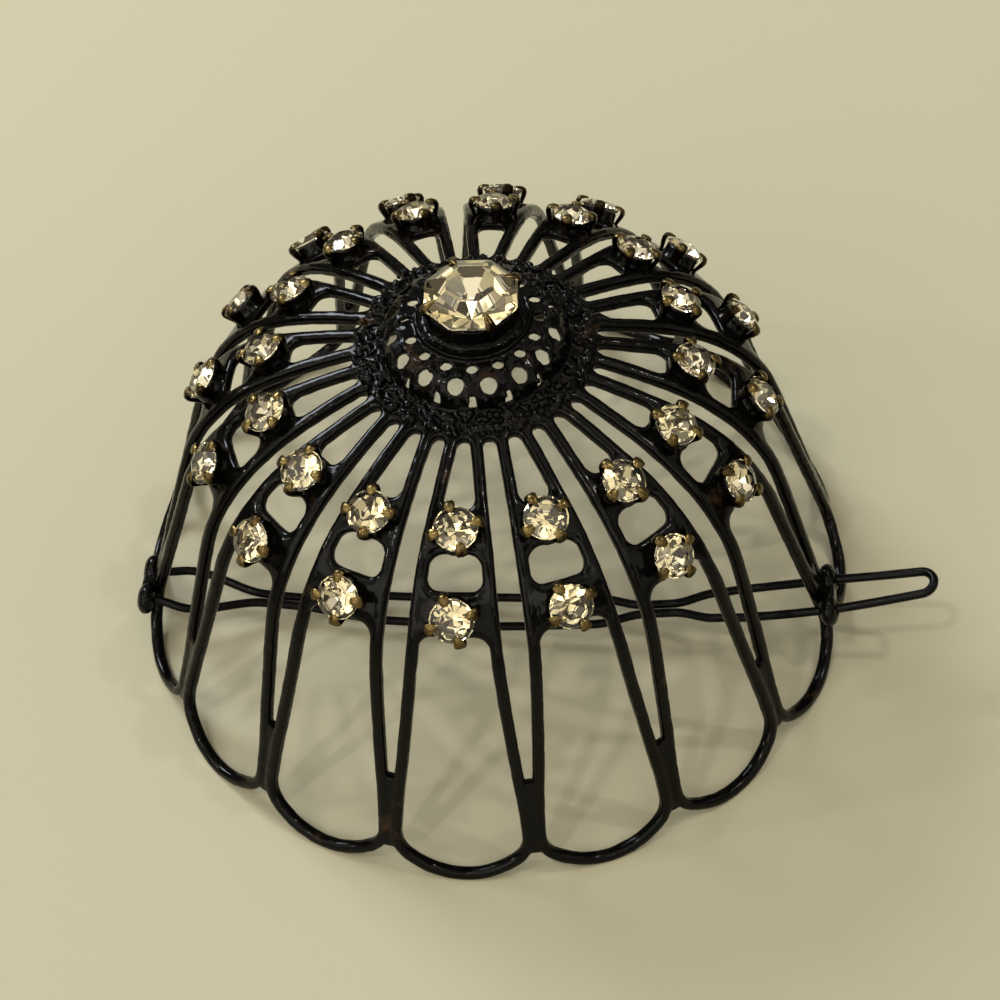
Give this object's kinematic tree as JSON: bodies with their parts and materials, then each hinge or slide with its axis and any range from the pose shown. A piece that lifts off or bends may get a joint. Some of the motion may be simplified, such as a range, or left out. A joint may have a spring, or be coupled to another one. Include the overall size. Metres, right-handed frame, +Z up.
{
  "type": "bun cage",
  "caption": "Openwork metal dome of looped petals under a pierced rosette, set with cut stones, held over a bun of hair by a wire pin through double eyes.",
  "frame": {"origin": "middle of the plane that the rim's arcs stand on, on the dome's axis", "axes": "+Z up along the dome's axis to the centre stone, +X along the pin towards its closed end, -Y through the front petal"},
  "size_m": [0.0863, 0.078, 0.0451],
  "materials": {
    "black_enamel": "glossy black enamel over cast white metal, worn thin on edges",
    "clear_stone": "foiled cut glass, clear with a champagne tint",
    "pin_wire": "black japanned wire"
  },
  "bodies": {
    "cage": {"cage": "black_enamel", "centre_stone": "clear_stone", "inner_stone_1": "clear_stone", "inner_stone_2": "clear_stone", "inner_stone_3": "clear_stone", "inner_stone_4": "clear_stone", "inner_stone_5": "clear_stone", "inner_stone_6": "clear_stone", "inner_stone_7": "clear_stone", "inner_stone_8": "clear_stone", "inner_stone_9": "clear_stone", "inner_stone_10": "clear_stone", "inner_stone_11": "clear_stone", "inner_stone_12": "clear_stone", "inner_stone_13": "clear_stone", "inner_stone_14": "clear_stone", "inner_stone_15": "clear_stone", "inner_stone_16": "clear_stone", "outer_stone_1": "clear_stone", "outer_stone_2": "clear_stone", "outer_stone_3": "clear_stone", "outer_stone_4": "clear_stone", "outer_stone_5": "clear_stone", "outer_stone_6": "clear_stone", "outer_stone_7": "clear_stone", "outer_stone_8": "clear_stone", "outer_stone_9": "clear_stone", "outer_stone_10": "clear_stone", "outer_stone_11": "clear_stone", "outer_stone_12": "clear_stone", "outer_stone_13": "clear_stone", "outer_stone_14": "clear_stone", "outer_stone_15": "clear_stone", "outer_stone_16": "clear_stone"},
    "pin": {"pin": "pin_wire"}
  },
  "joints": [
    {"name": "pin_draw", "type": "hinge", "parent": "cage", "child": "pin", "pos_m": [-0.00652, -0.00723, 0.16405], "axis": [0, -1, 0], "range_deg": [0, 3.15]}
  ]
}
